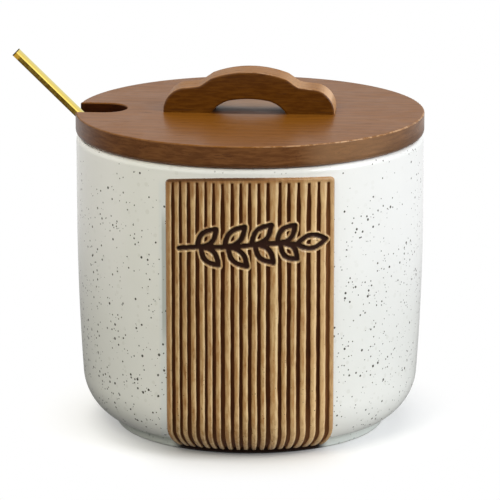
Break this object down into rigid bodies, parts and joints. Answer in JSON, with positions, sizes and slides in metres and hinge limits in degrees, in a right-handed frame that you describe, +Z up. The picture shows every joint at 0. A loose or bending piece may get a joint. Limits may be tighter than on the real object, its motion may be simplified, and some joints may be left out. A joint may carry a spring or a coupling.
{
  "type": "salt keeper",
  "caption": "Round stoneware salt keeper with a raised ribbed front panel, a lift-off wooden lid with a bridge handle and a rim slot, and a leaning square-rod spoon.",
  "frame": {"origin": "on the table under the jar's axis, in the plane of the foot ring", "axes": "+Z up along the jar's axis; the ribbed panel faces -Y; the spoon leans out towards -X, 4.2 degrees behind it"},
  "size_m": [0.1418, 0.121, 0.1297],
  "materials": {
    "white_glaze": "glossy off-white speckled glaze on stoneware",
    "brown_glaze": "glossy brown glaze, tan on the ribs and dark in the grooves",
    "lid_wood": "oiled acacia-like wood, satin",
    "handle_wood": "oiled acacia-like wood, satin",
    "seal_rubber": "translucent white silicone, matt",
    "screw_steel": "zinc-plated steel",
    "spoon_gold": "polished gold-coloured plating"
  },
  "bodies": {
    "jar": {"jar_body": "white_glaze", "ribbed_panel": "brown_glaze"},
    "seal": {"lid_seal": "seal_rubber"},
    "lid": {"lid_board": "lid_wood", "lid_plug": "lid_wood", "lid_handle": "handle_wood", "handle_screws": "screw_steel"},
    "spoon": {"salt_spoon": "spoon_gold"}
  },
  "joints": [
    {"name": "lid_lift", "type": "slide", "parent": "jar", "child": "seal", "axis": [0, 0, 1], "range_m": [0, 0.15]},
    {"name": "lid_turn", "type": "hinge", "parent": "seal", "child": "lid", "pos_m": [0, 0, 0.1], "axis": [0, 0, 1], "range_deg": [-5, 5]},
    {"name": "spoon_draw", "type": "slide", "parent": "jar", "child": "spoon", "axis": [-0.7114, 0.0522, 0.7009], "range_m": [0, 0.074]}
  ]
}
